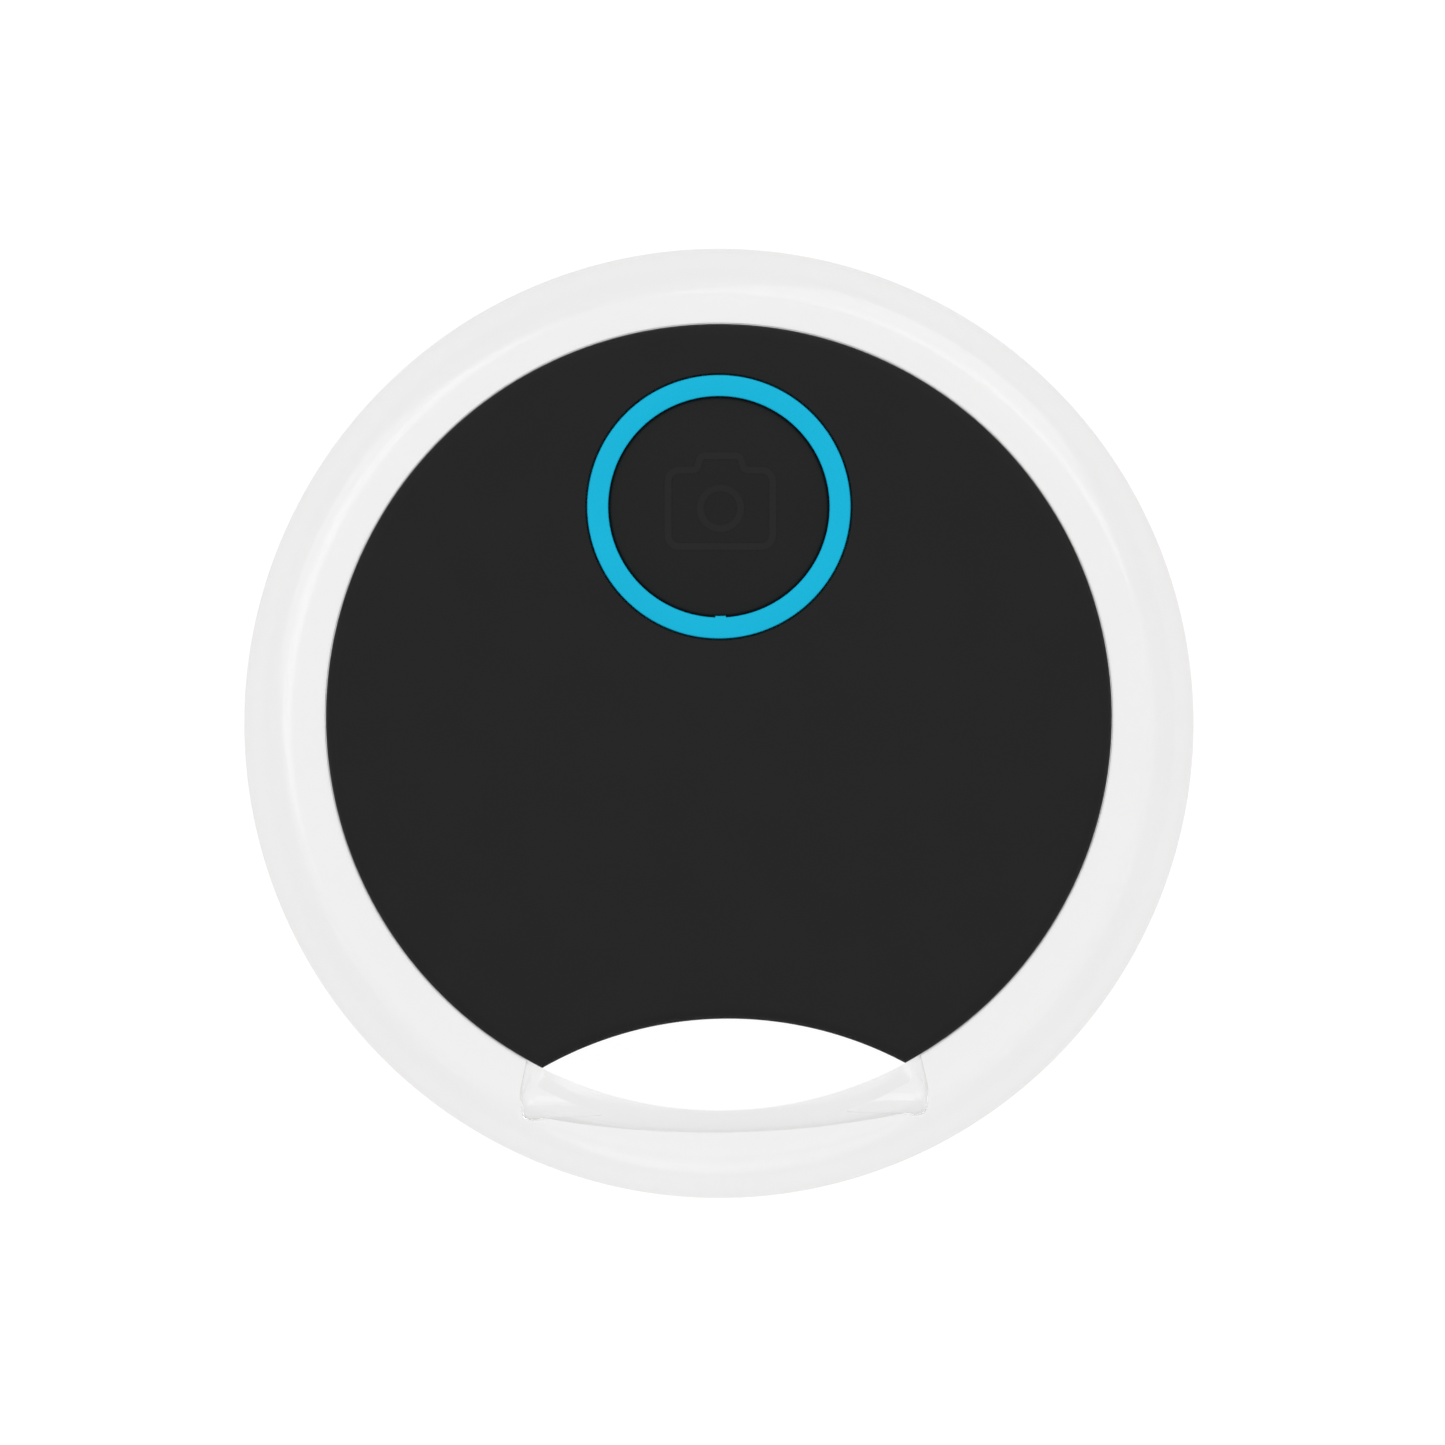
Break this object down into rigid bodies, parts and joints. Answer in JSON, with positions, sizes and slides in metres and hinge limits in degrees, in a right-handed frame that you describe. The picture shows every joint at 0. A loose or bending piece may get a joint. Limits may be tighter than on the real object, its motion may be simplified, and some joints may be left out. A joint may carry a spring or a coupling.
{
  "type": "bluetooth tracker tag",
  "caption": "Round key-ring tracker tag: black two-shell body in a clear ring that closes a key loop, push button in a blue bezel, coin cell behind a twist-lock door.",
  "frame": {"origin": "centre of the clear ring's outline, on the plane that the flat rear face rests on", "axes": "+Z out of the front face, towards the button; +Y away from the key loop, so the loop is at -Y; +X to the right when facing the front"},
  "size_m": [0.038, 0.038, 0.0081],
  "materials": {
    "clear_plastic": "clear, polished",
    "black_housing": "fine matte moulding",
    "black_button": "fine matte moulding with a slightly glossier outline picture",
    "blue_bezel": "satin blue moulding",
    "seal_silicone": "soft silicone",
    "inner_plastic": "plain moulding",
    "spring_steel": "thin spring steel",
    "cell_steel": "nickel-plated steel",
    "screw_steel": "zinc-plated steel",
    "contact_brass": "plated spring brass",
    "white_ceramic": "fired ceramic",
    "board_laminate": "green solder mask",
    "chip_epoxy": "moulded epoxy",
    "led_resin": "clear yellow resin",
    "adhesive_foam": "thin double-sided adhesive"
  },
  "bodies": {
    "housing": {"clear_ring": "clear_plastic", "front_cover": "black_housing", "rear_cover": "black_housing", "button_bezel": "blue_bezel", "housing_seal": "seal_silicone", "button_seal": "seal_silicone", "switch_body": "inner_plastic", "battery_gasket": "inner_plastic", "battery_cradle": "inner_plastic", "switch_dome": "spring_steel", "battery_can": "cell_steel", "battery_negative_cap": "cell_steel", "board_screw_1": "screw_steel", "board_screw_2": "screw_steel", "board_screw_3": "screw_steel", "board_screw_4": "screw_steel", "crystal_main": "cell_steel", "crystal_clock": "cell_steel", "positive_contact": "contact_brass", "negative_contact": "contact_brass", "buzzer_plate": "contact_brass", "buzzer_pin_1": "contact_brass", "buzzer_pin_2": "contact_brass", "buzzer_ceramic": "white_ceramic", "capacitor_1": "white_ceramic", "capacitor_2": "white_ceramic", "capacitor_3": "white_ceramic", "capacitor_4": "white_ceramic", "chip_antenna": "white_ceramic", "circuit_board": "board_laminate", "radio_chip": "chip_epoxy", "power_inductor": "chip_epoxy", "status_led_1": "led_resin", "status_led_2": "led_resin", "buzzer_adhesive": "adhesive_foam"},
    "button": {"button_cap": "black_button", "switch_plunger": "inner_plastic"},
    "door": {"battery_door": "black_housing", "door_seal": "seal_silicone"}
  },
  "joints": [
    {"name": "button_press", "type": "slide", "parent": "housing", "child": "button", "axis": [0, 0, -1], "range_m": [0, 0.00025], "stiffness_N_per_m": 6000, "deforming": ["switch_dome"]},
    {"name": "battery_door_twist", "type": "hinge", "parent": "housing", "child": "door", "pos_m": [0, 0.0016, 0.0006], "axis": [0, 0, -1], "range_deg": [0, 30]}
  ]
}
